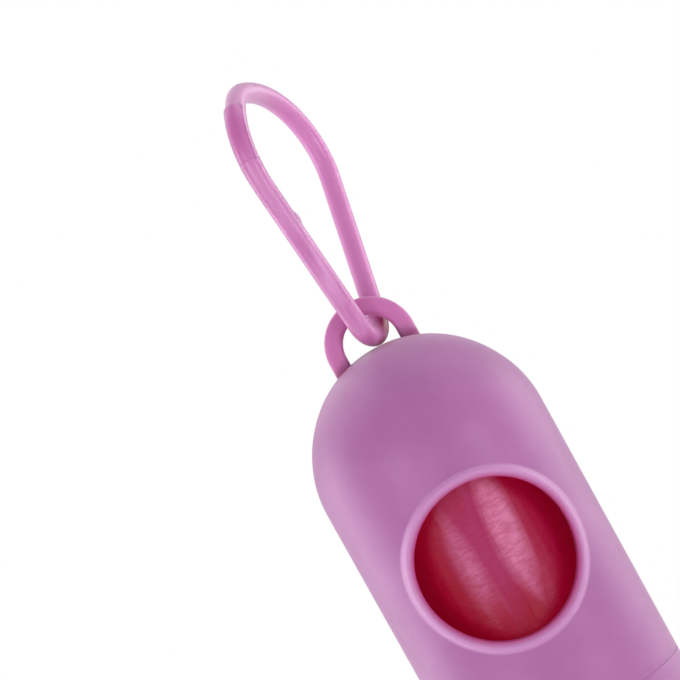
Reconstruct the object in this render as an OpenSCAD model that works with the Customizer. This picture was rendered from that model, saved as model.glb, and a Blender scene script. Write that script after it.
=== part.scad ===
// Capsule dispenser for rolled dog poop bags, with the loop clip that hangs it from a leash.
// It is modelled as it hangs: the capsule stands upright under the clip, window towards -Y.
// The origin is the inside top of the clip loop, where the leash bears.

/* [Bag roll] */
// Diameter of the wound bags under the first bag
roll_d = 30.6; // [26:0.2:31.2]
// Width of the folded bags, which is the roll's length
roll_length = 60; // [56:1:62]
// Thickness of the first bag's loose outer wrap
lead_wrap = 0.3; // [0.2:0.05:0.5]
// Slack between that wrap and the wound bags
lead_slack = 0.15; // [0.05:0.05:0.4]
// Angle of the roll that the first bag goes round
lead_sweep = 318; // [270:1:340]
// Length of the first bag's free edge
lead_tail = 2.4; // [1.5:0.1:4]
// Direction of that edge round the axis, from +X; -90 is the window's middle
lead_edge_turn = -84; // [-110:1:-70]
// Outer diameter of the cardboard core
core_d = 17; // [14:0.5:19]
// Wall of the core
core_wall = 1; // [0.8:0.1:1.5]
// Running clearance between core and bags, on the radius
core_fit = 0.1; // [0.05:0.01:0.1]

/* [Capsule] */
// Room round the wound bags in the tube, on the radius
roll_room = 2.5; // [1.5:0.1:4]
// How far the roll can rise before it meets the dome
roll_play = 5.62; // [3:0.01:12]
// Gap between the roll's lower edge and the cap's dome
roll_rest_gap = 0.3; // [0.2:0.05:0.5]
// Wall of the tube and of its dome
tube_wall = 2.2; // [1.8:0.1:3]
// Draft of the tube: how much smaller its radius is at the cap joint
tube_draft = 0.2; // [0:0.05:0.3]
// Radius of the small rounding where body and cap meet
seam_round = 0.25; // [0.1:0.05:0.4]

/* [Window] */
// Diameter of the hole that the bags are pulled through
window_d = 26; // [18:0.5:27]
// Distance from the dome's top down to the window's centre
window_depth = 38.1; // [33:0.1:42]
// Width of the raised collar round the window
collar_width = 1.9; // [1.2:0.1:2.5]
// Height of the collar above the tube
collar_height = 0.8; // [0.4:0.1:1.2]

/* [Ring] */
// Width of the hole inside the ring on the dome
eye_width = 9.3; // [8.9:0.1:11]
// Height of that hole above the dome's top
eye_height = 5.55; // [5.2:0.05:8]
// Thickness of the ring, seen from the front
ring_bar_d = 3.1; // [2.7:0.1:3.3]
// Thickness of the ring from front to back, between its flats
ring_depth = 2.2; // [2:0.1:2.4]

/* [Screw joint] */
// Length of the neck that the cap screws on
neck_length = 5.6; // [4:0.1:7]
// Wall of the neck
neck_wall = 1; // [0.8:0.05:1.1]
// Running clearance between neck and cap, on the radius
neck_fit = 0.1; // [0.05:0.01:0.1]
// Width of the line between body and cap
seam_gap = 0.15; // [0.1:0.05:0.3]
// Straight length of the cap above its dome
cap_skirt = 3.85; // [3:0.05:12]
// Wall of the cap's dome
cap_wall = 1.9; // [1.4:0.1:2.2]

/* [Clip] */
// Diameter of the clip's bar
clip_bar_d = 3.4; // [3:0.1:3.6]
// Height of the clip over its bar, from the bend to the loop's top
clip_length = 48.4; // [44:0.1:60]
// Room between the bend and the ring's flats
bend_room = 0.7; // [0.4:0.05:1]
// Turn of the clip's plane from the ring's plane
clip_turn = 60; // [56:1:64]
// How far the clip hangs to the right of the capsule's axis
clip_shift = 1.2; // [0.6:0.1:1.4]
// Slope of the spine arm, away from the clip's middle
spine_flare = 22.6; // [20.6:0.1:24.6]
// Radius of the loop's top on the spine side
spine_top_r = 15.3; // [13.8:0.1:16.3]
// Angle over which that radius runs
spine_top_sweep = 40.5; // [36.5:0.5:44.5]
// Slope of the gate arm, away from the clip's middle
gate_flare = 11.4; // [9.4:0.1:13.4]
// Radius of the loop's top on the gate side
gate_top_r = 5.95; // [5.55:0.05:6.35]
// Angle over which that radius runs
gate_top_sweep = 42; // [40:0.5:42.5]
// Gap between the bend and the dome
clip_rest_gap = 0.3; // [0.2:0.05:0.5]

/* [Gate] */
// Distance of the living hinge below the start of the gate's curve
hinge_drop = 6.5; // [4:0.1:9]
// Angle up the side curve at which the frame's tongue ends
tongue_end = 7.7; // [7:0.1:13]
// Angle up the side curve at which the gate's head ends
head_end = 47.5; // [42:0.5:47.5]
// Distance of the lap face outside the bar's middle
lap_offset = 0.45; // [0.2:0.05:0.7]
// Gap between gate and frame where the clip closes
gate_gap = 0.1; // [0.08:0.01:0.2]
// Diameter of the small bead inside the arm at the living hinge
hinge_bead_d = 1.4; // [1:0.1:2]
// How far the bead stands out of the arm
hinge_bead_height = 0.3; // [0.2:0.05:0.5]

/* [Hidden] */
$fn = 96;
ring_sides = 48;   // facets of the ring's bar
bar_sides = 20;    // facets round the clip's bar
path_step = 14;    // degrees times radius in one step along the clip's bar, at 1 mm radius
block_steps = 9;   // flat sides of the lap's face
over = 1;          // how far a cutting shape runs past what it cuts

// Capsule: z is measured from the centre of the upper dome
bore_r = roll_d / 2 + roll_room;
body_r = bore_r + tube_wall;
seam_r = body_r - tube_draft;
cap_inner_r = seam_r - cap_wall;

// Roll: between the upper dome and the cap's dome, in which its lower edge stands
lead_inner_r = roll_d / 2 + lead_slack;
lead_r = lead_inner_r + lead_wrap;
roll_reach = norm([lead_r, lead_tail]);   // farthest point of the free edge from the axis
roll_bore_r = core_d / 2 + core_fit;
roll_low_z = sqrt(pow(bore_r, 2) - pow(roll_reach, 2)) - roll_play - roll_length;

// Screw joint
cap_dome_z = roll_low_z + sqrt(pow(cap_inner_r - roll_rest_gap, 2) - pow(roll_reach, 2));
cap_top_z = cap_dome_z + cap_skirt;
seam_z = cap_top_z + seam_gap;
neck_r = bore_r + neck_wall;
neck_end_z = seam_z - neck_length;
cap_bore_r = neck_r + neck_fit;
cap_bore_end_z = neck_end_z - 2 * seam_gap;

// Window
window_z = body_r - window_depth;
window_r = window_d / 2;
collar_r = window_r + collar_width;
collar_round = min(collar_width, collar_height) / 3;   // step at the collar's edges

// Ring: a half circle on two straight legs
eye_r = eye_width / 2;
ring_bar_r = ring_bar_d / 2;
ring_mean_r = eye_r + ring_bar_r;
ring_z = body_r + eye_height - eye_r;
ring_top_z = ring_z + ring_mean_r;    // middle of the bar that the clip hangs on

// Clip: worked out in its own plane, x to the spine side and z up
bar_r = clip_bar_d / 2;
bend_r = ring_depth / 2 / sin(clip_turn) + bend_room + bar_r;   // to the middle of the bar
bend_low_z = body_r + clip_rest_gap + bar_r;
bend_z = bend_low_z + bend_r;
apex_z = bend_low_z + clip_length - clip_bar_d;
leash_z = apex_z - bar_r;

// Each arm runs from the loop's top through two tangent arcs into a straight flare.
// side_r is the second arc's radius, so that the flare also touches the bend.
function flare_normal(flare) = [cos(flare), -sin(flare)];
function join_dir(sweep) = [sin(sweep), cos(sweep)];
function side_r(top_r, sweep, flare) =
    (bend_r - (apex_z - top_r - bend_z) * flare_normal(flare)[1]
        - top_r * (join_dir(sweep) * flare_normal(flare)))
    / (1 - join_dir(sweep) * flare_normal(flare));
function side_centre(top_r, sweep, flare) =
    [0, apex_z - top_r] - (side_r(top_r, sweep, flare) - top_r) * join_dir(sweep);
function flare_top(top_r, sweep, flare) =
    side_centre(top_r, sweep, flare) + side_r(top_r, sweep, flare) * flare_normal(flare);
function flare_foot(flare) = [0, bend_z] + bend_r * flare_normal(flare);

gate_side_r = side_r(gate_top_r, gate_top_sweep, gate_flare);
gate_side_centre = side_centre(gate_top_r, gate_top_sweep, gate_flare);
gate_flare_top = flare_top(gate_top_r, gate_top_sweep, gate_flare);
hinge_dir = [sin(gate_flare), cos(gate_flare)];
hinge_mid = gate_flare_top - hinge_drop * hinge_dir;
gap_angle = gate_gap / gate_side_r * 180 / PI;   // gate_gap as an angle on the side curve

// Puts a shape that is drawn about the upper dome's centre into the part's frame
module hung() {
    translate([-clip_shift, 0, -leash_z]) children();
}

// Turns the clip's own plane into place over the ring
module clip_plane() {
    hung() translate([clip_shift, 0, 0]) rotate([0, 0, clip_turn]) children();
}

// Quarter of a disc, right of the axis and above z = 0
module quarter_disc(r) {
    intersection() {
        circle(r);
        square(r + over);
    }
}

// Points on an arc in the clip's plane, between two angles from the x axis
function arc_points(centre, r, from, to) =
    let (steps = max(3, ceil(abs(to - from) * r / bar_step(r))))
    [for (i = [0:steps]) let (a = from + (to - from) * i / steps) centre + r * [cos(a), sin(a)]];
function bar_step(r) = path_step * sqrt(r);   // long steps only on wide curves

// Direction of a path at its point i, and the side of the path that looks left of it
function path_dir(path, i) =
    let (d = path[min(i + 1, len(path) - 1)] - path[max(i - 1, 0)]) d / norm(d);
function path_left(path, i) = let (d = path_dir(path, i)) [-d[1], d[0]];

// Round bar swept along a path in the clip's plane
module swept_bar(path) {
    n = bar_sides;
    rings = [for (i = [0:len(path) - 1], j = [0:n - 1])
        let (side = path[i] + bar_r * cos(360 * j / n) * path_left(path, i))
        [side[0], bar_r * sin(360 * j / n), side[1]]];
    last = (len(path) - 1) * n;
    walls = [for (i = [0:len(path) - 2], j = [0:n - 1])
        let (a = i * n + j, b = i * n + (j + 1) % n) each [[a, b, b + n], [a, b + n, a + n]]];
    polyhedron(rings, concat([[for (j = [n - 1:-1:0]) j]], walls, [[for (j = [0:n - 1]) last + j]]));
}

// Block as deep as the clip, between two radii and two angles of the gate's side curve
module side_block(low_r, high_r, from, to) {
    function edge_point(r, share) =
        let (a = from + (to - from) * share / block_steps)
        gate_side_centre + r * [cos(a), sin(a)];
    outline = concat([for (i = [0:block_steps]) edge_point(high_r, i)],
                     [for (i = [block_steps:-1:0]) edge_point(low_r, i)]);
    rotate([90, 0, 0]) linear_extrude(2 * clip_bar_d, center = true) polygon(outline);
}

// Half torus and legs of the ring, in the plane of the photographed front
module ring() {
    module ring_section() {
        intersection() {
            circle(ring_bar_r, $fn = ring_sides);
            square([2 * ring_bar_d, ring_depth], center = true);
        }
    }
    translate([0, 0, ring_z]) {
        rotate([90, 0, 0]) rotate_extrude(angle = 180) translate([ring_mean_r, 0]) ring_section();
        for (side = [-1, 1]) translate([side * ring_mean_r, 0, -ring_z])
            linear_extrude(ring_z) ring_section();
    }
}

// Raised collar that follows the tube's curve round the window, with its edges stepped in
module collar() {
    module band(high_r, out_r, in_r) {
        intersection() {
            translate([0, 0, window_z]) rotate([90, 0, 0]) difference() {
                cylinder(h = high_r, r = out_r);
                translate([0, 0, -over]) cylinder(h = high_r + 2 * over, r = in_r);
            }
            translate([0, 0, window_z - body_r]) cylinder(h = 2 * body_r, r = high_r);
        }
    }
    band(body_r + collar_height, collar_r - collar_round, window_r + collar_round);
    band(body_r + collar_height - collar_round, collar_r, window_r);
}

module capsule_body() {
    color([0.72, 0.44, 0.68]) hung() difference() {
        union() {
            rotate_extrude() {
                quarter_disc(body_r);
                polygon([[0, 0], [body_r, 0], [seam_r, seam_z + seam_round],
                         [seam_r - seam_round, seam_z], [neck_r, seam_z], [neck_r, neck_end_z],
                         [0, neck_end_z]]);
            }
            ring();
            collar();
        }
        rotate_extrude() {
            quarter_disc(bore_r);
            translate([0, neck_end_z - over]) square([bore_r, over - neck_end_z]);
        }
        translate([0, 0, window_z]) rotate([90, 0, 0])
            cylinder(h = 2 * body_r, r = window_r);
    }
}

module screw_cap() {
    skirt_end_z = min(cap_dome_z, cap_top_z - seam_round);
    color([0.74, 0.46, 0.7]) hung() difference() {
        rotate_extrude() {
            translate([0, cap_dome_z]) mirror([0, 1]) quarter_disc(seam_r);
            polygon([[0, skirt_end_z], [seam_r, skirt_end_z], [seam_r, cap_top_z - seam_round],
                     [seam_r - seam_round, cap_top_z], [0, cap_top_z]]);
        }
        rotate_extrude() {
            translate([0, cap_dome_z]) mirror([0, 1]) quarter_disc(cap_inner_r);
            translate([0, cap_dome_z]) square([cap_inner_r, cap_top_z + over - cap_dome_z]);
            translate([0, cap_bore_end_z]) square([cap_bore_r, cap_top_z + over - cap_bore_end_z]);
        }
    }
}

// Spine arm from the loop's top down to the bend
function spine_path() =
    let (r = side_r(spine_top_r, spine_top_sweep, spine_flare),
         centre = side_centre(spine_top_r, spine_top_sweep, spine_flare))
    concat(arc_points([0, apex_z - spine_top_r], spine_top_r, 90, 90 - spine_top_sweep),
           onward(arc_points(centre, r, 90 - spine_top_sweep, -spine_flare)));

// A path without its first point, where it carries on from another
function onward(path) = [for (i = [1:len(path) - 1]) path[i]];
function mirrored(path) = [for (p = path) [-p[0], p[1]]];

// The gate's side curve and the loop's top on that side, between two angles
function gate_curve(from, to) =
    arc_points(gate_side_centre, gate_side_r, from, min(to, 90 - gate_top_sweep));
function gate_top() = arc_points([0, apex_z - gate_top_r], gate_top_r, 90 - gate_top_sweep, 90);

module clip_frame() {
    hinge_low = hinge_mid - gate_gap / 2 * hinge_dir;
    tongue = mirrored(concat(gate_curve(tongue_end, 90), onward(gate_top())));
    bend = arc_points([0, bend_z], bend_r, -spine_flare, gate_flare - 180);
    color([0.8, 0.47, 0.71]) clip_plane() {
        difference() {
            swept_bar(concat(tongue, onward(spine_path()), bend, mirrored([hinge_low])));
            mirror([1, 0, 0]) side_block(gate_side_r + lap_offset, gate_side_r + clip_bar_d,
                                         tongue_end - over, head_end + gap_angle);
        }
        hinge_bead(hinge_low);
    }
}

// Small bead inside the arm, just under the living hinge
module hinge_bead(hinge) {
    middle = hinge - hinge_bead_d / 2 * hinge_dir
        - (bar_r + hinge_bead_height - hinge_bead_d / 2) * flare_normal(gate_flare);
    mirror([1, 0, 0]) translate([middle[0], 0, middle[1]]) rotate([90, 0, 0])
        cylinder(h = bar_r, r = hinge_bead_d / 2, center = true, $fn = bar_sides);
}

module clip_gate() {
    hinge_high = hinge_mid + gate_gap / 2 * hinge_dir;
    head = arc_points(gate_side_centre, gate_side_r, -gate_flare, head_end);
    color([0.8, 0.48, 0.72]) clip_plane() mirror([1, 0, 0]) difference() {
        swept_bar(concat([hinge_high], head));
        side_block(gate_side_r - clip_bar_d, gate_side_r + lap_offset + gate_gap,
                   tongue_end - gap_angle, head_end + over);
    }
}

module roll_core() {
    color([0.72, 0.6, 0.45]) hung() translate([0, 0, roll_low_z]) difference() {
        cylinder(h = roll_length, r = core_d / 2);
        translate([0, 0, -over]) cylinder(h = roll_length + 2 * over, r = core_d / 2 - core_wall);
    }
}

module bag_roll() {
    color([0.62, 0.05, 0.2]) hung() translate([0, 0, roll_low_z]) difference() {
        cylinder(h = roll_length, r = roll_d / 2);
        translate([0, 0, -over]) cylinder(h = roll_length + 2 * over, r = roll_bore_r);
    }
}

// The first bag goes once round the roll, and its free edge stands off along a tangent
module lead_bag() {
    color([0.68, 0.1, 0.28]) hung() translate([0, 0, roll_low_z]) rotate([0, 0, lead_edge_turn]) {
        rotate_extrude(angle = lead_sweep) translate([lead_inner_r, 0]) square([lead_wrap, roll_length]);
        translate([lead_inner_r, -lead_tail, 0]) cube([lead_wrap, lead_tail, roll_length]);
    }
}

capsule_body();
screw_cap();
clip_frame();
clip_gate();
roll_core();
bag_roll();
lead_bag();
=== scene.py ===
import bmesh
import bpy
from math import asin, atan2, copysign, cos, degrees, exp, hypot, pi, radians, sin, sqrt
from mathutils import Matrix, Vector, noise


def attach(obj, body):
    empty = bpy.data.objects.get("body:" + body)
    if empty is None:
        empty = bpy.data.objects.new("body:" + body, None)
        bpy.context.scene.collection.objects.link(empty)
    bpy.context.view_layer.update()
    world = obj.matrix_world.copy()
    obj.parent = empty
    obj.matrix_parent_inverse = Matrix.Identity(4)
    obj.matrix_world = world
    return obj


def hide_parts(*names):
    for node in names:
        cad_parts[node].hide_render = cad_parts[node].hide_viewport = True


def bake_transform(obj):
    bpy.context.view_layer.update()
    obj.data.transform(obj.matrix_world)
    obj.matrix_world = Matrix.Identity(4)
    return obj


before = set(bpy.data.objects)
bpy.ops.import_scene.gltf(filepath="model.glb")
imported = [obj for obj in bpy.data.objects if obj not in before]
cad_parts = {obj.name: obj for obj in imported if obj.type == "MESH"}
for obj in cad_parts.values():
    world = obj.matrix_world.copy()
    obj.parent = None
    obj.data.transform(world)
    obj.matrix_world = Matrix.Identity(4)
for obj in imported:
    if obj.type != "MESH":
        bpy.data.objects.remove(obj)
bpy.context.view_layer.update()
mm = 0.001

# Pieces are modelled in millimetres about the centre of the upper dome, z up and the window
# towards -Y, and carried from there to their place in the frame.
capsulePlace = Matrix.Translation(Vector((-1.2, 0, -65.3)) * mm) @ Matrix.Scale(mm, 4)
clipTurn = radians(60)  # turn of the clip's plane from the ring's
clipPlace = (
    Matrix.Translation(Vector((0, 0, -65.3)) * mm)
    @ Matrix.Rotation(clipTurn, 4, "Z")
    @ Matrix.Scale(mm, 4)
)


# Mesh helpers
# Turns each closed shell of bm outwards, by the sign of its volume, as a thread has two ends that
# mislead the operator
def faceOutwards(bm):
    bmesh.ops.recalc_face_normals(bm, faces=bm.faces)
    left = set(bm.faces)
    while left:
        shell = [left.pop()]
        for f in shell:  # grows while it is read
            near = {n for e in f.edges for n in e.link_faces} & left
            left -= near
            shell.extend(near)
        loops = [[v.co for v in f.verts] for f in shell]
        volume = sum(c[0].dot(a.cross(b)) for c in loops for a, b in zip(c[1:], c[2:]))
        if volume < 0:
            bmesh.ops.reverse_faces(bm, faces=shell)


def finishPiece(bm, name, place, body, material, stands, sharpAngle=38, blendOver=None):
    bmesh.ops.remove_doubles(bm, verts=bm.verts, dist=1e-4)
    faceOutwards(bm)
    bmesh.ops.transform(bm, matrix=place, verts=bm.verts)
    mesh = bpy.data.meshes.new(name)
    bm.to_mesh(mesh)
    bm.free()
    mesh.shade_smooth()
    mesh.set_sharp_from_angle(angle=radians(sharpAngle))
    mesh.materials.append(material)
    piece = bpy.data.objects.new(name, mesh)
    bpy.context.scene.collection.objects.link(piece)
    if blendOver:
        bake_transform(piece)
    else:
        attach(piece, body)
    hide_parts(*stands)
    print("made", name, len(mesh.polygons), "faces")


def edgesOf(geom):
    return [g for g in geom if isinstance(g, bmesh.types.BMEdge)]


def vertsOf(geom):
    return [g for g in geom if isinstance(g, bmesh.types.BMVert)]


# One more loop from an open edge loop, each new vertex put where place(oldCo) says
def growLoop(bm, edges, place):
    made = bmesh.ops.extrude_edge_only(bm, edges=edges)["geom"]
    for v in vertsOf(made):
        v.co = place(v.co)
    return [e for e in edgesOf(made) if e.is_boundary]


def growRings(bm, edges, rings):  # rings of (radius, z) about the z axis
    for r, z in rings:
        edges = growLoop(bm, edges, lambda co: Vector((
            co.x * r / hypot(co.x, co.y), co.y * r / hypot(co.x, co.y), z)))
    return edges


def closePole(bm, edges, at):
    verts = list({v for e in edges for v in e.verts})
    bmesh.ops.pointmerge(bm, verts=verts, merge_co=at)


def arcRings(radius, zCentre, low, high, steps):  # (radius, z) on a circle about the axis
    angles = [radians(low + (high - low) * i / steps) for i in range(steps + 1)]
    return [(radius * cos(a), zCentre + radius * sin(a)) for a in angles]


def roundCorner(r, z, size, startAngle, endAngle, steps=4):  # (radius, z) on an arc about a corner
    angles = [radians(startAngle + (endAngle - startAngle) * i / steps) for i in range(steps + 1)]
    return [(r + size * cos(a), z + size * sin(a)) for a in angles]


# Helical ridge with ends that run out into the wall, which the crest may lie outside or inside of
def addThread(bm, wallR, crestR, startZ, pitch, turns, width, steps=150):
    inset = 0.12 if crestR > wallR else -0.12
    corners = [(wallR - inset, -width / 2), (wallR - inset, width / 2),
               (crestR, width / 5), (crestR, -width / 5)]
    verts = [bm.verts.new((r, 0, startZ + z)) for r, z in corners]
    edges = [bm.edges.new((verts[i], verts[(i + 1) % 4])) for i in range(4)]
    before = set(bm.verts) - set(verts)
    total = 2 * pi * turns
    last = bmesh.ops.spin(bm, geom=verts + edges, cent=(0, 0, 0), axis=(0, 0, 1),
                          dvec=(0, 0, pitch * turns / steps), angle=total, steps=steps)["geom_last"]
    bmesh.ops.contextual_create(bm, geom=edges)
    bmesh.ops.contextual_create(bm, geom=edgesOf(last))
    for v in set(bm.verts) - before:
        # the height along the helix says how far round the vertex is, to within the ridge's width
        share = (v.co.z - startZ) / (pitch * turns)
        fade = min(1, max(0, min(share, 1 - share) * turns * 6))
        r = hypot(v.co.x, v.co.y)
        wanted = wallR - inset + (r - wallR + inset) * fade
        v.co.x *= wanted / r
        v.co.y *= wanted / r


# Material helpers
def newMaterial(name):
    material = bpy.data.materials.new(name)
    material.use_nodes = True
    tree = material.node_tree
    return material, tree, tree.nodes["Principled BSDF"]


def addNode(tree, kind, links=None, **settings):
    node = tree.nodes.new("ShaderNode" + kind)
    for key, value in settings.items():
        setattr(node, key, value)
    for key, value in (links or {}).items():
        socket = node.inputs[key]
        if isinstance(value, bpy.types.NodeSocket):
            tree.links.new(value, socket)
        else:
            socket.default_value = value
    return node


def mixColours(tree, share, low, high):
    node = addNode(tree, "Mix", data_type="RGBA")
    for index, value in ((0, share), (6, low), (7, high)):
        if isinstance(value, bpy.types.NodeSocket):
            tree.links.new(value, node.inputs[index])
        else:
            node.inputs[index].default_value = value
    return node.outputs[2]


def mapRange(tree, value, fromLow, fromHigh, toLow, toHigh):
    return addNode(tree, "MapRange", {"Value": value, "From Min": fromLow, "From Max": fromHigh,
                                      "To Min": toLow, "To Max": toHigh}).outputs[0]


def noiseAt(tree, vector, scale, detail=3, roughness=0.5):
    return addNode(tree, "TexNoise", {"Vector": vector, "Scale": scale, "Detail": detail,
                                      "Roughness": roughness}).outputs[0]


def shade(colour):  # sRGB 0-255 to the linear colour that a shader takes
    def linear(c):
        c /= 255
        return c / 12.92 if c <= 0.04045 else ((c + 0.055) / 1.055) ** 2.4
    return (*[linear(c) for c in colour], 1)


# Satin moulded plastic: a fine spark-eroded skin, slight clouding of the colour, faint handling marks
plasticLook = {
    "capsule": {"colour": (180, 105, 170), "cloud": (173, 98, 163), "roughness": 0.44,
                "skin": 0.14, "glow": 0.10, "bloom": 0.5, "flowGlints": None},
    "clip": {"colour": (206, 121, 183), "cloud": (200, 113, 176), "roughness": 0.3,
             "skin": 0.03, "glow": 0.22, "bloom": 0.34, "flowGlints": (230, 164, 216)},
}
plasticGrain = {"clouds": 90, "flowGlints": 520, "marks": 420, "skin": 5200}  # noise scales

# Painted light and shade in places: glow where the plastic is thin, crimson reflection of the film
# near it, painted shadow in creases and under the clip, and painted light on sides of the clip that
# face away
# Each tint: colour, centre in the frame in mm, scale of the axes, distances where it starts and
# is full, and the level that it stays above
capsulePaintedLight = [
    ((205, 112, 178), (-1.2, 0, -65.3), (1, 1, 1), (20.1, 20.5), -52),  # ring: painted glow where its thin plastic lets light through
    ((166, 70, 134), (-7.4, -1.0, -46.9), (0.55, 0.5, 1), (1.9, 1.0), -52),  # painted shade in the creases at its feet
    ((166, 70, 134), (5.0, -1.0, -46.9), (0.55, 0.5, 1), (1.9, 1.0), -52),
    ((122, 46, 100), (-0.8, 0, -45.5), (0.22, 0.33, 0.8), (1.7, 0.8), -52),  # painted contact shadow on the dome within the ring
    ((168, 44, 108), (0.7, -1.8, -45.4), (1, 0.35, 1.4), (1.9, 0.8), -52),  # painted shadow under the clip's bend
    ((206, 138, 196), (-1.2, -16.75, -83.4), (1, 0.5, 1), (15.2, 14.8), -200),  # collar: painted glow and highlight on its bead
    ((184, 70, 132), (-1.2, -16.75, -83.4), (1, 0.5, 1), (13.9, 13.1), -200),  # edge of the window: painted crimson reflection of the film
]
framePaintedLight = [
    ((218, 133, 196), (5.0, 8.5, -20.0), (1, 1, 0.35), (10, 6), -60),  # painted light on the spine, which faces away from the lamps
    ((216, 154, 200), (-0.6, -1.0, 1.4), (1, 1, 1), (12, 5), -60),  # painted highlight on the pale top of the loop
    ((158, 20, 86), (2.6, 1.9, -43.0), (1, 0.5, 1), (2.6, 1.3), -60),  # painted shadow right of the bend, where it goes behind the ring
    ((160, 28, 92), (0.6, 0, -45.5), (1, 0.6, 1.2), (2.0, 0.8), -60),  # and painted shadow under it
]
gatePaintedLight = [
    ((200, 106, 174), (-4.3, -7.4, -5.0), (1, 1, 0.3), (3.0, 1.2), -60),  # painted shade along the head
    ((230, 168, 218), (-2.4, -4.2, -0.4), (0.35, 0.35, 1), (0.75, 0.3), -60),  # painted highlight on its end
]


# Distance from a centre in the frame, along axes that are turned by lean about y and then scaled
def distanceFrom(tree, at, centre, scale, lean=0):
    shifted = addNode(tree, "VectorMath", {0: at, 1: Vector(centre) * mm},
                      operation="SUBTRACT").outputs[0]
    leant = addNode(tree, "Mapping", {"Vector": shifted, "Rotation": (0, lean, 0)}).outputs[0]
    scaled = addNode(tree, "VectorMath", {0: leant, 1: scale}, operation="MULTIPLY").outputs[0]
    return addNode(tree, "VectorMath", {0: scaled}, operation="LENGTH").outputs["Value"]


# The window's cut face looks at the film, so it takes hardly any bloom or gloss
cutFace = {"centre": (-1.2, -16.75, -83.4), "scale": (1, 0.5, 1), "from": 13.05, "to": 13.5}


def plasticMaterial(name, look, paintedLight=(), dull=None):
    material, tree, shader = newMaterial(name)
    at = addNode(tree, "TexCoord").outputs["Object"]
    clouds = mapRange(tree, noiseAt(tree, at, plasticGrain["clouds"], 4, 0.6), 0.35, 0.65, 0, 1)
    colour = mixColours(tree, clouds, shade(look["colour"]), shade(look["cloud"]))
    # pale streaks along the bar: moulded flow lines, and painted highlight lines along the arms
    if look["flowGlints"]:
        drawn = addNode(tree, "Mapping", {"Vector": at, "Scale": (1, 1, 0.05)}).outputs[0]
        streaks = noiseAt(tree, drawn, plasticGrain["flowGlints"], 2, 0.5)
        lines = mapRange(tree, streaks, 0.42, 0.74, 0, 0.65)
        colour = mixColours(tree, lines, colour, shade(look["flowGlints"]))
    height = addNode(tree, "SeparateXYZ", {"Vector": at}).outputs[2]
    # painted light and shade mixed into the colour, each by its distance from a centre
    for tint, centre, scale, (start, full), low in paintedLight:
        share = mapRange(tree, distanceFrom(tree, at, centre, scale), start * mm, full * mm, 0, 1)
        above = mapRange(tree, height, low * mm, (low + 0.2) * mm, 0, 1)
        both = addNode(tree, "Math", {0: share, 1: above}, operation="MULTIPLY").outputs[0]
        colour = mixColours(tree, both, colour, shade(tint))
    tree.links.new(colour, shader.inputs["Base Color"])
    skin = noiseAt(tree, at, plasticGrain["skin"], 2, 0.7)
    marks = noiseAt(tree, at, plasticGrain["marks"], 5, 0.65)
    tree.links.new(mapRange(tree, marks, 0.3, 0.7, look["roughness"] - 0.04, look["roughness"] + 0.05),
                   shader.inputs["Roughness"])
    fine = addNode(tree, "Bump", {"Strength": look["skin"], "Distance": 0.0001, "Height": skin})
    soft = addNode(tree, "Bump", {"Strength": 0.04, "Distance": 0.0003, "Height": marks,
                                  "Normal": fine.outputs[0]})
    tree.links.new(soft.outputs[0], shader.inputs["Normal"])
    shader.inputs["Subsurface Weight"].default_value = look["glow"]
    shader.inputs["Subsurface Radius"].default_value = (1.0, 0.35, 0.7)
    shader.inputs["Subsurface Scale"].default_value = 0.0016
    shader.inputs["IOR"].default_value = 1.5
    shader.inputs["Sheen Weight"].default_value = look["bloom"]
    if dull:
        off = distanceFrom(tree, at, dull["centre"], dull["scale"])
        for socket, most in (("Sheen Weight", look["bloom"]), ("Specular IOR Level", 0.5)):
            tree.links.new(mapRange(tree, off, dull["from"] * mm, dull["to"] * mm, 0.03, most),
                           shader.inputs[socket])
    shader.inputs["Sheen Roughness"].default_value = 0.5
    shader.inputs["Sheen Tint"].default_value = (1, 0.86, 0.97, 1)
    return material


# Glossy film: deep crimson, with wrinkles that run with the roll and fine ones across, painted
# highlight streaks and sheen where the lamps reflect, and a painted glow in place of light on its
# edges
filmLook = {"colour": (122, 1, 28), "thin": (136, 8, 46), "within": (103, 0, 20), "roughness": 0.3,
            "sheen": (1.0, 0.7, 0.92, 1), "folds": 260, "ripples": 1900}
# Each painted highlight: colour, centre x and z in the frame, half width and half height in mm, lean,
# soft share of its edge, share that the fine wrinkles break up. The first two are painted sheen across
# the middle and right of it, the last two the painted highlight streaks
paintedHighlights = [
    ((138, 46, 98), (-1.1, -79.8), (7.3, 13.4), -0.04, 0.7, 0.3),
    ((132, 8, 56), (4.4, -81.0), (5.5, 13.0), 0, 0.6, 0.2),
    ((196, 122, 164), (2.3, -79.4), (2.8, 12.2), -0.1, 0.7, 0.45),
    ((176, 102, 144), (-5.4, -83.4), (2.3, 10.4), 0.04, 0.8, 0.5),
]


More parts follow.
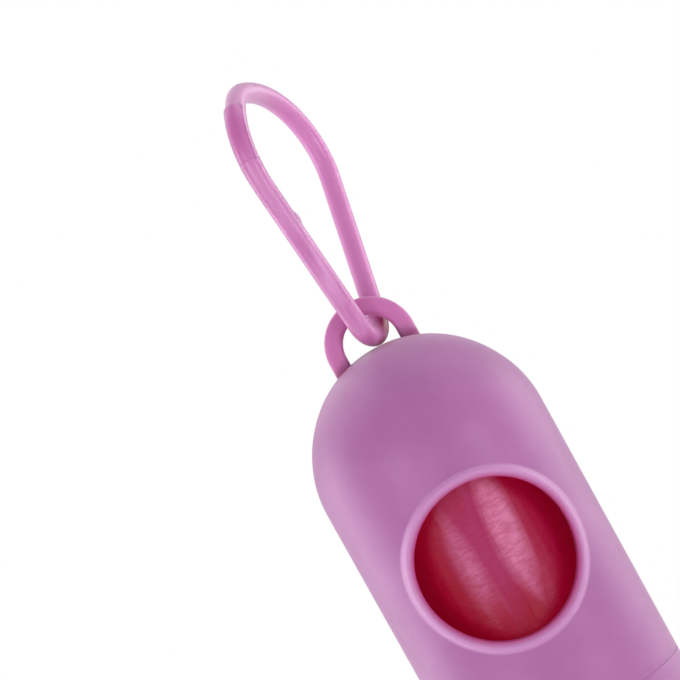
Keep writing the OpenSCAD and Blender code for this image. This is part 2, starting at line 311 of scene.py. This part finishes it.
def filmMaterial(name, look):
    material, tree, shader = newMaterial(name)
    at = addNode(tree, "TexCoord").outputs["Object"]
    along = addNode(tree, "Mapping", {"Vector": at, "Scale": (1, 1, 0.12)}).outputs[0]
    across = addNode(tree, "Mapping", {"Vector": at, "Scale": (0.3, 0.3, 1),
                                       "Rotation": (0, 0.35, 0)}).outputs[0]
    folds = noiseAt(tree, along, look["folds"], 3, 0.5)
    ripples = noiseAt(tree, across, look["ripples"], 3, 0.6)
    tint = mapRange(tree, folds, 0.35, 0.75, 0, 0.6)
    colour = mixColours(tree, tint, shade(look["colour"]), shade(look["thin"]))
    hatch = mapRange(tree, ripples, 0.36, 0.6, 0, 1)
    for highlightColour, (x, z), (wide, high), lean, soft, hatched in paintedHighlights:
        off = distanceFrom(tree, at, (x, 0, z), (1 / wide, 0, 1 / high), lean)
        fray = mapRange(tree, folds, 0.3, 0.7, -0.25 * mm, 0.25 * mm)
        frayed = addNode(tree, "Math", {0: fray, 1: off}, operation="ADD").outputs[0]
        share = mapRange(tree, frayed, 1.1 * mm, (1.1 - soft) * mm, 0, 1)
        broken = mapRange(tree, hatch, 0, 1, 1 - hatched, 1)
        both = addNode(tree, "Math", {0: share, 1: broken}, operation="MULTIPLY").outputs[0]
        colour = mixColours(tree, both, colour, shade(highlightColour))
    tree.links.new(colour, shader.inputs["Base Color"])
    tree.links.new(mapRange(tree, ripples, 0.3, 0.7, look["roughness"], look["roughness"] + 0.14),
                   shader.inputs["Roughness"])
    big = addNode(tree, "Bump", {"Strength": 0.25, "Distance": 0.0006, "Height": folds})
    small = addNode(tree, "Bump", {"Strength": 0.5, "Distance": 0.00012, "Height": ripples,
                                   "Normal": big.outputs[0]})
    tree.links.new(small.outputs[0], shader.inputs["Normal"])
    shader.inputs["IOR"].default_value = 1.4
    shader.inputs["Specular Tint"].default_value = look["sheen"]
    # painted glow: emission that stands in for light on the film where the collar shades it
    shader.inputs["Emission Color"].default_value = shade(look["within"])
    shader.inputs["Emission Strength"].default_value = 1.0
    return material


# Grey-brown board wound in a spiral: fibres, and the joint of the strip
boardLook = {"colour": (176, 148, 112), "fibre": (150, 122, 88), "joint": (118, 94, 66),
             "strip": 0.016}


def boardMaterial(name, look):
    material, tree, shader = newMaterial(name)
    at = addNode(tree, "TexCoord").outputs["Object"]
    centred = addNode(tree, "Mapping", {"Vector": at, "Location": (0.0012, 0, 0)}).outputs[0]
    axes = addNode(tree, "SeparateXYZ", {"Vector": centred}).outputs
    turn = addNode(tree, "Math", {0: axes[1], 1: axes[0]}, operation="ARCTAN2").outputs[0]
    rise = addNode(tree, "Math", {0: axes[2], 1: look["strip"]}, operation="DIVIDE").outputs[0]
    around = addNode(tree, "Math", {0: turn, 1: 2 * pi}, operation="DIVIDE").outputs[0]
    phase = addNode(tree, "Math", {0: rise, 1: around}, operation="ADD").outputs[0]
    wound = addNode(tree, "Math", {0: phase}, operation="FRACT").outputs[0]
    joint = mapRange(tree, wound, 0.0, 0.03, 1, 0)
    stretched = addNode(tree, "Mapping", {"Vector": at, "Scale": (1, 1, 3)}).outputs[0]
    fibres = noiseAt(tree, stretched, 900, 6, 0.7)
    fibreShare = mapRange(tree, fibres, 0.35, 0.65, 0, 1)
    plain = mixColours(tree, fibreShare, shade(look["colour"]), shade(look["fibre"]))
    tree.links.new(mixColours(tree, joint, plain, shade(look["joint"])), shader.inputs["Base Color"])
    bump = addNode(tree, "Bump", {"Strength": 0.35, "Distance": 0.0001, "Height": fibres})
    tree.links.new(bump.outputs[0], shader.inputs["Normal"])
    shader.inputs["Roughness"].default_value = 0.85
    return material


capsulePlastic = plasticMaterial("orchidPlastic", plasticLook["capsule"], capsulePaintedLight, cutFace)
capPlastic = plasticMaterial("capPlastic", plasticLook["capsule"])
clipPlastic = plasticMaterial("clipPlastic", plasticLook["clip"], framePaintedLight)
gatePlastic = plasticMaterial("gatePlastic", plasticLook["clip"], gatePaintedLight)
filmPlastic = filmMaterial("crimsonFilm", filmLook)
coreBoard = boardMaterial("coreBoard", boardLook)
print("made the materials")


# Capsule body: tube, dome, window collar, ring and neck in one
capsule = {
    "radius": 20.0, "boreR": 17.8, "draft": 0.2, "seamZ": -46.25, "seamRound": 0.12,
    "neckR": 18.3, "threadR": 18.78, "neckEnd": -51.8,
    "windowZ": -18.1, "windowR": 13.0, "collarR": 14.75, "collarHeight": 0.8,
    "ringBar": (3.1, 2.2), "ringSquare": 0.8, "ringMean": 6.2, "ringZ": 20.9, "flank": 0.011,
    "thread": (2.9, 1.25, 1.5),  # pitch, turns, width
    "columns": 128, "rows": 47,
    "patchTurn": 57, "patchTall": 17.0,  # half sizes of the patch that the window is set in
}


# Flat plate with a round hole, rolled into a tube and added to bm
def addRolledWall(bm, radius, holeR, sizes, cuts=3):
    plate = bmesh.new()
    height, centre = -sizes["seamZ"], sizes["windowZ"]
    bmesh.ops.create_grid(plate, x_segments=sizes["columns"], y_segments=sizes["rows"], size=0.5)
    bmesh.ops.scale(plate, vec=(2 * pi * radius, height, 1), verts=plate.verts)
    bmesh.ops.translate(plate, vec=(0, -height / 2, 0), verts=plate.verts)
    wide, tall = radians(sizes["patchTurn"]) * radius, sizes["patchTall"]
    patch = [f for f in plate.faces if abs(f.calc_center_median().x) < wide
             and abs(f.calc_center_median().y - centre) < tall]
    bmesh.ops.delete(plate, geom=patch, context="FACES")
    rim = [e for e in plate.edges if e.is_boundary
           and all(abs(v.co.x) < wide + 2 and -height + 0.1 < v.co.y < -0.1 for v in e.verts)]

    def toHole(co):  # the same direction for both walls, so that their holes meet
        turn = atan2(co.y - centre, co.x / radius * sizes["radius"])
        return Vector((radius * asin(holeR * cos(turn) / radius), centre + holeR * sin(turn), 0))
    ring = growLoop(plate, rim, toHole)
    band = {f for e in ring for f in e.link_faces}
    across = list({e for f in band for e in f.edges} - set(rim) - set(ring))
    bmesh.ops.subdivide_edges(plate, edges=across, cuts=cuts, use_grid_fill=True)
    for v in plate.verts:
        turn = v.co.x / radius
        v.co = Vector((radius * sin(turn), -radius * cos(turn), v.co.y))
    bmesh.ops.remove_doubles(plate, verts=plate.verts, dist=1e-4)
    mesh = bpy.data.meshes.new("wall")
    plate.to_mesh(mesh)
    plate.free()
    bm.from_mesh(mesh)
    bpy.data.meshes.remove(mesh)


# Free edges of the wall of that radius: round its hole, at its top and at its bottom
def wallEnds(bm, radius, height):
    found = {"hole": [], "top": [], "bottom": []}
    for e in bm.edges:
        if e.is_boundary and all(abs(hypot(v.co.x, v.co.y) - radius) < 0.01 for v in e.verts):
            z = (e.verts[0].co.z + e.verts[1].co.z) / 2
            found["top" if z > -1e-3 else "bottom" if z < 1e-3 - height else "hole"].append(e)
    return found["hole"], found["top"], found["bottom"]


def makeCapsule(sizes):
    bm = bmesh.new()
    radius, boreR = sizes["radius"], sizes["boreR"]
    windowR, collarR, high = sizes["windowR"], sizes["collarR"], sizes["collarHeight"]
    centre, seamZ, small = sizes["windowZ"], sizes["seamZ"], sizes["seamRound"]
    addRolledWall(bm, radius, collarR + 0.8, sizes)
    addRolledWall(bm, boreR, windowR, sizes)
    hole, top, bottom = wallEnds(bm, radius, -seamZ)
    _, innerTop, innerBottom = wallEnds(bm, boreR, -seamZ)

    # collar: loops given by their distance from the window's axis and height over the tube, with
    # a soft foot and then a bead that is highest a little outside its middle
    bead = [(collarR + 0.42, 0.0), (collarR + 0.24, 0.03), (collarR + 0.1, 0.1), (collarR + 0.02, 0.2)]
    for step in range(11):
        a = radians(14 + 166 * step / 10)
        bead.append(((collarR + windowR) / 2 + (collarR - windowR) / 2 * cos(a),
                     0.12 + (high - 0.12) * sin(pi * ((1 + cos(a)) / 2) ** 1.6) ** 0.9))
    bead += [(windowR, -0.5), (windowR, boreR - radius)]
    for rho, lift in bead:
        def toCollar(co, rho=rho, lift=lift):
            turn = atan2(co.z - centre, co.x)
            x, z = rho * cos(turn), centre + rho * sin(turn)
            return Vector((x, -sqrt((radius + lift) ** 2 - x * x), z))
        hole = growLoop(bm, hole, toCollar)

    # dome, its flanks a little flatter than a sphere's
    rings = [(r * (1 - sizes["flank"] * (2 * r * z / radius ** 2) ** 2), z)
             for r, z in arcRings(radius, 0, 0, 88.5, 30)[1:]]
    closePole(bm, growRings(bm, top, rings), (0, 0, radius))

    # draft of the tube, before the joint is drawn
    for v in bm.verts:
        if v.co.z < 0 and hypot(v.co.x, v.co.y) > boreR + 0.5:
            share = 1 + sizes["draft"] / radius * v.co.z / -seamZ
            v.co.x *= share
            v.co.y *= share
    seamR = radius - sizes["draft"]
    for v in {v for e in bottom for v in e.verts}:
        v.co.z = seamZ + small
    corner = roundCorner(seamR - small, seamZ + small, small, 0, -90)[1:]
    neckR, neckEnd = sizes["neckR"], sizes["neckEnd"]
    outline = corner + [(neckR + 0.25, seamZ)]
    outline += roundCorner(neckR + 0.2, seamZ - 0.2, 0.2, 90, 180)[1:]
    outline += [(neckR, neckEnd + 0.2)] + roundCorner(neckR - 0.2, neckEnd + 0.2, 0.2, 0, -90)[1:]
    outline += roundCorner(boreR + 0.15, neckEnd + 0.15, 0.15, -90, -180)
    outer = growRings(bm, bottom, outline)

    # bore and inner dome
    closePole(bm, growRings(bm, innerTop, arcRings(boreR, 0, 0, 88.5, 24)[1:]), (0, 0, boreR))
    bmesh.ops.bridge_loops(bm, edges=outer + innerBottom)

    # ring: an oval bar spun over half a turn, its legs run down into the dome
    wide, deep = sizes["ringBar"]
    section = bmesh.ops.create_circle(bm, segments=40, radius=1)["verts"]
    for v in section:
        turn = atan2(v.co.y, v.co.x)
        x, y = (copysign(abs(c) ** sizes["ringSquare"], c) for c in (cos(turn), sin(turn)))
        v.co = Vector((sizes["ringMean"] + wide / 2 * x, deep / 2 * y, sizes["ringZ"]))
    loop = list({e for v in section for e in v.link_edges})
    spun = bmesh.ops.spin(bm, geom=section + loop, cent=(0, 0, sizes["ringZ"]), axis=(0, -1, 0),
                          dvec=(0, 0, 0), angle=pi, steps=56)["geom_last"]
    for ends in (loop, edgesOf(spun)):
        foot = growLoop(bm, ends, lambda co: Vector((co.x, co.y, boreR + 0.4)))
        bmesh.ops.contextual_create(bm, geom=foot)
    addThread(bm, neckR, sizes["threadR"], seamZ - 1.1, *sizes["thread"])
    finishPiece(bm, "capsuleBody", capsulePlace, "capsule",
                capsulePlastic, ["capsule_body"])


makeCapsule(capsule)


# Screw cap: one outline spun round the axis, and the thread inside its skirt
cap = {
    "radius": 19.8, "topZ": -46.28, "domeZ": -50.2, "innerR": 17.9, "boreR": 19.3,
    "boreEnd": -52.1, "threadR": 18.92, "round": 0.12,
    "thread": (2.9, 1.25, 1.3), "threadZ": -51.2,
}


def makeCap(sizes):
    bm = bmesh.new()
    radius, topZ, small = sizes["radius"], sizes["topZ"], sizes["round"]
    outline = [(0, sizes["domeZ"] - radius)]
    outline += arcRings(radius, sizes["domeZ"], -88.5, 0, 34)
    outline += [(radius, sizes["domeZ"] + (topZ - sizes["domeZ"]) * i / 4) for i in (1, 2, 3)]
    outline += roundCorner(radius - small, topZ - small, small, 0, 90)
    outline += roundCorner(sizes["boreR"] + 0.1, topZ - 0.1, 0.1, 90, 180)
    outline += [(sizes["boreR"], sizes["boreEnd"] + 0.3), (sizes["boreR"] - 0.1, sizes["boreEnd"])]
    innerR = sizes["innerR"]
    start = degrees(asin((sizes["boreEnd"] - sizes["domeZ"]) / innerR))
    outline += arcRings(innerR, sizes["domeZ"], start, -88.5, 26)
    outline += [(0, sizes["domeZ"] - innerR)]
    verts = [bm.verts.new((r, 0, z)) for r, z in outline]
    edges = [bm.edges.new(pair) for pair in zip(verts, verts[1:])]
    bmesh.ops.spin(bm, geom=verts + edges, cent=(0, 0, 0), axis=(0, 0, 1), dvec=(0, 0, 0),
                   angle=2 * pi, steps=128, use_merge=True)
    bmesh.ops.remove_doubles(bm, verts=bm.verts, dist=1e-4)
    addThread(bm, sizes["boreR"], sizes["threadR"], sizes["threadZ"], *sizes["thread"])
    finishPiece(bm, "screwCap", capsulePlace, "cap", capPlastic, ["screw_cap"])


makeCap(cap)


# Loop clip: a round bar along tangent arcs in the clip's plane, x to the spine side
clip = {
    "barR": 1.73, "bendZ": 25.39, "bendR": 3.67, "apexZ": 67.0,
    "spineFlare": 22.6, "spineTopR": 15.3, "spineSweep": 40.5,
    "gateFlare": 11.4, "gateTopR": 5.95, "gateSweep": 42,
    "hingeDrop": 6.5, "gateFoot": 6.5, "tongueEnd": 7.7, "headEnd": 43.5,
    "lap": 0.43, "gap": 0.1, "edgeBreak": 0.12,
    "proud": 0.13, "ledge": 0.08, "ledgeSpan": 14, "slim": 0.07, "slimSpan": 22,
    "hingeSwell": (1.42, 1.9, 2.2), "hingeSpan": 3, "sides": 32,
}


# Second arc of an arm, so that it is tangent to the loop's top, the flare and the bend
def armArc(topR, sweep, flare, sizes):
    sweep, flare = radians(sweep), radians(flare)
    normal = Vector((cos(flare), -sin(flare)))
    join = Vector((sin(sweep), cos(sweep)))
    drop = sizes["apexZ"] - topR - sizes["bendZ"]
    r = (sizes["bendR"] - drop * normal.y - topR * join.dot(normal)) / (1 - join.dot(normal))
    centre = Vector((0, sizes["apexZ"] - topR)) - (r - topR) * join
    return r, centre


def flat(p):  # a point of the clip's plane
    return Vector((p[0], 0, p[1]))


# Round section at a point of the path, across the path's direction
def startBar(bm, at, heading, sizes):
    verts = bmesh.ops.create_circle(bm, segments=sizes["sides"], radius=sizes["barR"])["verts"]
    out = Vector((heading.z, 0, -heading.x))
    turn = Matrix((out, Vector((0, 1, 0)), heading)).transposed().to_4x4()
    bmesh.ops.transform(bm, matrix=Matrix.Translation(at) @ turn, verts=verts)
    return list({e for v in verts for e in v.link_edges})


def bendBar(bm, edges, centre, angle, stepLength=0.5, radius=10):
    steps = max(3, round(abs(radians(angle)) * radius / stepLength))
    verts = list({v for e in edges for v in e.verts})
    made = bmesh.ops.spin(bm, geom=verts + edges, cent=flat(centre), axis=(0, 1, 0),
                          dvec=(0, 0, 0), angle=radians(angle), steps=steps)["geom_last"]
    return edgesOf(made)


def runBar(bm, edges, offset, steps):
    for i in range(steps):
        edges = growLoop(bm, edges, lambda co: co + offset / steps)
    return edges


def capBar(bm, edges):
    bmesh.ops.contextual_create(bm, geom=edges)


def makeClip(sizes):
    gateR, gateCentre = armArc(sizes["gateTopR"], sizes["gateSweep"], sizes["gateFlare"], sizes)
    spineR, spineCentre = armArc(sizes["spineTopR"], sizes["spineSweep"], sizes["spineFlare"], sizes)
    gateCentre.x *= -1  # the gate arm is on the -x side
    tongueEnd, headEnd = sizes["tongueEnd"], sizes["headEnd"]

    def onGate(angle, r=gateR):  # angle up from the horizontal, on the gate side
        a = radians(angle)
        return Vector((gateCentre.x - r * cos(a), 0, gateCentre.y + r * sin(a)))

    def gateHeading(angle):
        a = radians(angle)
        return Vector((sin(a), 0, cos(a)))

    def lapFace(verts, inner):  # pushes one side of the bar to the lap's face
        for v in verts:
            away = Vector((v.co.x - gateCentre.x, 0, v.co.z - gateCentre.y))
            side = away.length - gateR
            face = sizes["lap"] if inner else sizes["lap"] + sizes["gap"]
            if (inner and side > face) or (not inner and side < face):
                v.co += away.normalized() * (face - side)

    def swell(verts, amount):  # widens the bar's outer half, amount(angle) as a share of its radius
        for v in verts:
            away = Vector((v.co.x - gateCentre.x, 0, v.co.z - gateCentre.y))
            share = amount(degrees(atan2(away.z, -away.x)))
            out = (away.length - gateR) * away.normalized() + Vector((0, v.co.y, 0))
            v.co += out * share * max(0, min(1, 0.5 + (away.length - gateR) / sizes["barR"]))

    def breakEdges(bm, verts, size):
        sharp = [e for e in bm.edges if e.is_manifold and e.calc_face_angle(0) > 0.9
                 and e.verts[0] in verts and e.verts[1] in verts]
        bmesh.ops.bevel(bm, geom=sharp, offset=size, segments=2, affect="EDGES",
                        profile=0.5, material=-1)

    # frame: tongue, loop's top, spine, bend, foot of the gate arm
    bm = bmesh.new()
    edges = startBar(bm, onGate(tongueEnd), gateHeading(tongueEnd), sizes)
    capBar(bm, edges)
    edges = bendBar(bm, edges, gateCentre, headEnd - tongueEnd, 0.5, gateR)
    tongue = set(bm.verts)
    edges = growLoop(bm, edges, lambda co: co)  # a second loop in place keeps the lap's end square
    lapFace(tongue, inner=True)
    edges = bendBar(bm, edges, gateCentre, 90 - sizes["gateSweep"] - headEnd, 0.5, gateR)
    for side, stepLength in (("gate", 0.4), ("spine", 0.45)):
        topR = sizes[side + "TopR"]
        edges = bendBar(bm, edges, (0, sizes["apexZ"] - topR), sizes[side + "Sweep"], stepLength, topR)
    sideTurn = 90 - sizes["spineSweep"] + sizes["spineFlare"]
    edges = bendBar(bm, edges, spineCentre, sideTurn, 0.6, spineR)
    spineEnd = radians(sizes["spineFlare"])
    outer = Vector((cos(spineEnd), -sin(spineEnd)))
    foot = Vector((0, sizes["bendZ"])) + sizes["bendR"] * outer
    edges = runBar(bm, edges, flat(foot - (spineCentre + spineR * outer)), 20)
    bendTurn = 180 - sizes["spineFlare"] - sizes["gateFlare"]
    edges = bendBar(bm, edges, (0, sizes["bendZ"]), bendTurn, 0.35, sizes["bendR"])
    gateEnd = radians(sizes["gateFlare"])
    gateOut = Vector((-cos(gateEnd), -sin(gateEnd)))
    upFlare = Vector((-sin(gateEnd), cos(gateEnd)))
    gateStart = gateCentre + gateR * gateOut
    hinge = gateStart - sizes["hingeDrop"] * upFlare
    split = hinge - sizes["gateFoot"] * upFlare
    low = Vector((0, sizes["bendZ"])) + sizes["bendR"] * gateOut
    edges = runBar(bm, edges, flat(split - low), 10)
    capBar(bm, edges)
    archLow = onGate(headEnd).z - 3
    arch = [v for v in bm.verts if v.co.x < 1 and v.co.z > archLow and v not in tongue]
    swell(arch, lambda angle: -sizes["slim"] * max(0, 1 - abs(angle - headEnd) / sizes["slimSpan"]))
    finishPiece(bm, "clipFrame", clipPlace, "clip", clipPlastic, ["clip_frame"])

    # gate: from below the living hinge to the head over the tongue
    bm = bmesh.new()
    edges = startBar(bm, flat(split), flat(upFlare), sizes)
    capBar(bm, edges)
    edges = runBar(bm, edges, flat(gateStart - split), 26)
    gapAngle = degrees(sizes["gap"] / gateR)
    edges = bendBar(bm, edges, gateCentre, sizes["gateFlare"] + tongueEnd - gapAngle, 0.5, gateR)
    before = set(bm.verts)
    edges = growLoop(bm, edges, lambda co: co)
    edges = bendBar(bm, edges, gateCentre, headEnd - tongueEnd + gapAngle - 0.25, 0.5, gateR)
    head = [v for v in bm.verts if v not in before]
    lapFace(head, inner=False)
    capBar(bm, edges)
    swell(head, lambda angle: sizes["proud"] * (angle - tongueEnd) / (headEnd - tongueEnd))
    swell(before, lambda angle: sizes["ledge"] * max(0, 1 - (tongueEnd - angle) / sizes["ledgeSpan"]))
    breakEdges(bm, set(head), sizes["edgeBreak"])
    along = Matrix.Rotation(atan2(upFlare.x, upFlare.y), 4, "Y")
    swellPlace = Matrix.Translation(flat(hinge - 0.5 * gateOut)) @ along
    bmesh.ops.create_uvsphere(bm, u_segments=24, v_segments=16, radius=1,
                              matrix=swellPlace @ Matrix.Diagonal((*sizes["hingeSwell"], 1)))
    points = [clipPlace @ flat(hinge + d * sizes["hingeSpan"] * upFlare) for d in (-1, 1)]
    finishPiece(bm, "clipGate", clipPlace, "gate", gatePlastic, ["clip_gate"],
                blendOver=("clip", "gate", points[0], points[1]))


makeClip(clip)


# Bag roll: wound film round the core, the first bag as a loose wrap with a free edge
roll = {
    "top": 2.32, "length": 60.0, "radius": 15.3, "boreR": 8.6,
    "wrapR": 15.4, "wrapThick": 0.08, "climb": 0.1, "sweep": 378, "edgeTurn": -77.4, "tail": 2.4,
    "edgeTop": -13.5, "edgeLean": 0.23, "tailLeast": 0.8,
    "swell": 0.2, "swellTurn": 0.09, "standOff": 0.06, "columns": 260, "rows": 90,
    "layers": 14, "endRelief": 0.25,
    "coreR": 8.5, "coreWall": 1.0, "coreEdge": 0.12,
}


def spinOutline(bm, outline, steps):  # closed outline of (radius, z) round the z axis
    verts = [bm.verts.new((r, 0, z)) for r, z in outline]
    edges = [bm.edges.new((a, b)) for a, b in zip(verts, verts[1:] + verts[:1])]
    bmesh.ops.spin(bm, geom=verts + edges, cent=(0, 0, 0), axis=(0, 0, 1), dvec=(0, 0, 0),
                   angle=2 * pi, steps=steps, use_merge=True)


def makeRoll(sizes):
    bm = bmesh.new()
    top, low = sizes["top"], sizes["top"] - sizes["length"]
    radius, boreR, layers = sizes["radius"], sizes["boreR"], sizes["layers"]
    ends = [boreR + (radius - boreR) * i / layers for i in range(layers + 1)]

    def uneven(x, y):
        return sizes["endRelief"] * abs(noise.noise(Vector((x, y, 0))))
    outline = [(r, top - uneven(i * 1.7, 0.3)) for i, r in enumerate(ends)]
    outline += [(radius, top - 0.5 - (sizes["length"] - 1) * i / 59) for i in range(60)]
    outline += [(r, low + uneven(i * 1.9, 5.3)) for i, r in enumerate(ends)][::-1]
    spinOutline(bm, outline, 128)
    finishPiece(bm, "bagRoll", capsulePlace, "film", filmPlastic, ["bag_roll"])


# How far the film stands off the wound roll: soft folds with the axis, ripples across them
def filmRelief(turn, z):
    folds = noise.noise(Vector((cos(turn) * 3.1, sin(turn) * 3.1, z * 0.022)))
    crease = noise.noise(Vector((cos(turn) * 9, sin(turn) * 9, z * 0.05 + 7)))
    ripple = noise.noise(Vector((cos(turn) * 4, sin(turn) * 4, z * 0.9 + 3)))
    return 0.16 * folds + 0.05 * crease + 0.03 * ripple


def makeLeadBag(sizes):
    bm = bmesh.new()
    sweep, edgeTurn = radians(sizes["sweep"]), radians(sizes["edgeTurn"])
    bmesh.ops.create_grid(bm, x_segments=sizes["columns"], y_segments=sizes["rows"], size=0.5)
    low = sizes["top"] - sizes["length"]
    tailShare = sizes["tail"] / (sizes["wrapR"] * sweep + sizes["tail"])
    for v in bm.verts:
        share, z = v.co.x + 0.5, low + (v.co.y + 0.5) * sizes["length"]
        wound = max(0, (share - tailShare) / (1 - tailShare))
        turn = edgeTurn + wound * sweep
        lift = sizes["standOff"] + max(-sizes["standOff"], filmRelief(turn, z))
        r = sizes["wrapR"] + sizes["climb"] * (1 - wound) + lift
        under = turn - (edgeTurn + 2 * pi - sizes["tail"] / sizes["wrapR"])  # from below the free edge
        r += sizes["swell"] * exp(-(under / sizes["swellTurn"]) ** 2)
        co = Vector((r * cos(turn), r * sin(turn), z))
        if share < tailShare:  # free edge, straight along the tangent and leaning at its top
            off = 1 - share / tailShare
            cutBack = sizes["edgeLean"] * max(0, z - sizes["edgeTop"])
            long = max(sizes["tailLeast"], sizes["tail"] - cutBack)
            co += Vector((sin(turn), -cos(turn), 0)) * off * long
        v.co = co
    bmesh.ops.recalc_face_normals(bm, faces=bm.faces)
    bmesh.ops.solidify(bm, geom=bm.faces, thickness=sizes["wrapThick"])
    finishPiece(bm, "firstBag", capsulePlace, "film", filmPlastic, ["lead_bag"])


def makeCore(sizes):
    bm = bmesh.new()
    top, low = sizes["top"], sizes["top"] - sizes["length"]
    r, inner, edge = sizes["coreR"], sizes["coreR"] - sizes["coreWall"], sizes["coreEdge"]
    outline = roundCorner(r - edge, top - edge, edge, 0, 90)
    outline += roundCorner(inner + edge, top - edge, edge, 90, 180)
    outline += roundCorner(inner + edge, low + edge, edge, 180, 270)
    outline += roundCorner(r - edge, low + edge, edge, 270, 360)
    spinOutline(bm, outline, 96)
    finishPiece(bm, "rollCore", capsulePlace, "core", coreBoard, ["roll_core"])


makeRoll(roll)
makeLeadBag(roll)
makeCore(roll)


# Studio: pale floor under the hanging object, white surround, soft boxes at both sides
studio = {
    "floorZ": -0.2, "floorColour": (0.9, 0.9, 0.9, 1), "fade": (0.07, 0.17), "worldLight": 0.35,
    "lamps": [  # name, azimuth from the window, elevation, distance, width, height, watts
        ("rightBox", 40, -12, 0.75, 0.24, 0.7, 2.6),
        ("leftBox", -38, 2, 0.8, 0.16, 0.7, 2.0),
        ("front", -2, -12, 0.8, 0.5, 0.5, 1.1),
        ("rimRight", 108, -6, 0.7, 0.5, 0.8, 3.5),
        ("rimLeft", -110, -4, 0.7, 0.5, 0.8, 3.8),
        ("topBack", -150, 55, 0.8, 0.9, 0.9, 2.2),
        ("topRight", 75, 55, 0.8, 0.7, 0.6, 0.9),
    ],
    "lampsAim": (-0.0012, 0, -0.07),
}


def makeFloor(look):
    bm = bmesh.new()
    bmesh.ops.create_circle(bm, cap_ends=True, segments=64, radius=4)
    bmesh.ops.translate(bm, vec=(0, 0, look["floorZ"]), verts=bm.verts)
    mesh = bpy.data.meshes.new("floor")
    bm.to_mesh(mesh)
    bm.free()
    floor = bpy.data.objects.new("floor", mesh)
    bpy.context.scene.collection.objects.link(floor)
    material, tree, shader = newMaterial("floorPaper")
    shader.inputs["Base Color"].default_value = look["floorColour"]
    shader.inputs["Roughness"].default_value = 0.9
    shader.inputs["Specular IOR Level"].default_value = 0.1
    at = addNode(tree, "TexCoord").outputs["Object"]
    level = addNode(tree, "Mapping", {"Vector": at, "Scale": (1, 1, 0)}).outputs[0]
    distance = addNode(tree, "VectorMath", {0: level}, operation="LENGTH").outputs["Value"]
    fade = mapRange(tree, distance, *look["fade"], 0, 1)
    white = addNode(tree, "Emission", {"Color": (1, 1, 1, 1), "Strength": 1.0})
    seen = addNode(tree, "LightPath").outputs["Is Camera Ray"]
    share = addNode(tree, "Math", {0: fade, 1: seen}, operation="MULTIPLY").outputs[0]
    mixed = addNode(tree, "MixShader", {0: share, 1: shader.outputs[0], 2: white.outputs[0]})
    # clear to a camera below it, which then sees the cap from underneath
    below = addNode(tree, "NewGeometry").outputs["Backfacing"]
    hidden = addNode(tree, "Math", {0: below, 1: seen}, operation="MULTIPLY").outputs[0]
    clear = addNode(tree, "BsdfTransparent")
    oneSided = addNode(tree, "MixShader", {0: hidden, 1: mixed.outputs[0], 2: clear.outputs[0]})
    tree.links.new(oneSided.outputs[0], tree.nodes["Material Output"].inputs["Surface"])
    mesh.materials.append(material)


def makeWorld(look):
    world = bpy.data.worlds.new("studio")
    bpy.context.scene.world = world
    world.use_nodes = True
    tree = world.node_tree
    tree.nodes.clear()
    light = addNode(tree, "Background", {"Color": (1, 1, 1, 1), "Strength": look["worldLight"]})
    white = addNode(tree, "Background", {"Color": (1, 1, 1, 1), "Strength": 1.0})
    seen = addNode(tree, "LightPath").outputs["Is Camera Ray"]
    mixed = addNode(tree, "MixShader", {0: seen, 1: light.outputs[0], 2: white.outputs[0]})
    addNode(tree, "OutputWorld", {"Surface": mixed.outputs[0]})


def makeLamps(look):
    middle = Vector(look["lampsAim"])
    for name, azimuth, elevation, distance, width, height, watts in look["lamps"]:
        a, e = radians(azimuth), radians(elevation)
        back = Vector((sin(a) * cos(e), -cos(a) * cos(e), sin(e)))
        data = bpy.data.lights.new(name, "AREA")
        data.shape = "RECTANGLE"
        data.size, data.size_y, data.energy = width, height, watts
        lamp = bpy.data.objects.new(name, data)
        lamp.location = middle + back * distance
        lamp.rotation_mode = "QUATERNION"
        lamp.rotation_quaternion = (-back).to_track_quat("-Z", "Y")
        bpy.context.scene.collection.objects.link(lamp)


makeFloor(studio)
makeWorld(studio)
makeLamps(studio)
print("set up the studio")


# Camera: level with the clip's bend, a little to the left of the window's side, and rolled by the
# tilt at which the photo shows the capsule
cameraSetup = {"distance": 0.430, "lens": 138.9, "aim": (-5.44, -41.41), "yaw": 2.2, "roll": 29.0}


def makeCamera(setup):
    turn = Matrix.Rotation(radians(-setup["yaw"]), 3, "Z")
    tilt = radians(setup["roll"])
    right = turn @ Vector((cos(tilt), 0, -sin(tilt)))
    up = turn @ Vector((sin(tilt), 0, cos(tilt)))
    back = turn @ Vector((0, -1, 0))
    axis = Vector((-1.2, 0, 0)) * mm
    aim = Vector((setup["aim"][0], 0, setup["aim"][1])) * mm
    place = axis + turn @ (aim - axis) + back * setup["distance"]
    data = bpy.data.cameras.new("camera")
    data.lens, data.sensor_width = setup["lens"], 36
    data.clip_start, data.clip_end = 0.01, 20
    camera = bpy.data.objects.new("camera", data)
    camera.matrix_world = Matrix.Translation(place) @ Matrix((right, up, back)).transposed().to_4x4()
    bpy.context.scene.collection.objects.link(camera)
    bpy.context.scene.camera = camera


makeCamera(cameraSetup)
bpy.context.scene.view_settings.view_transform = "Standard"
print("placed the camera")
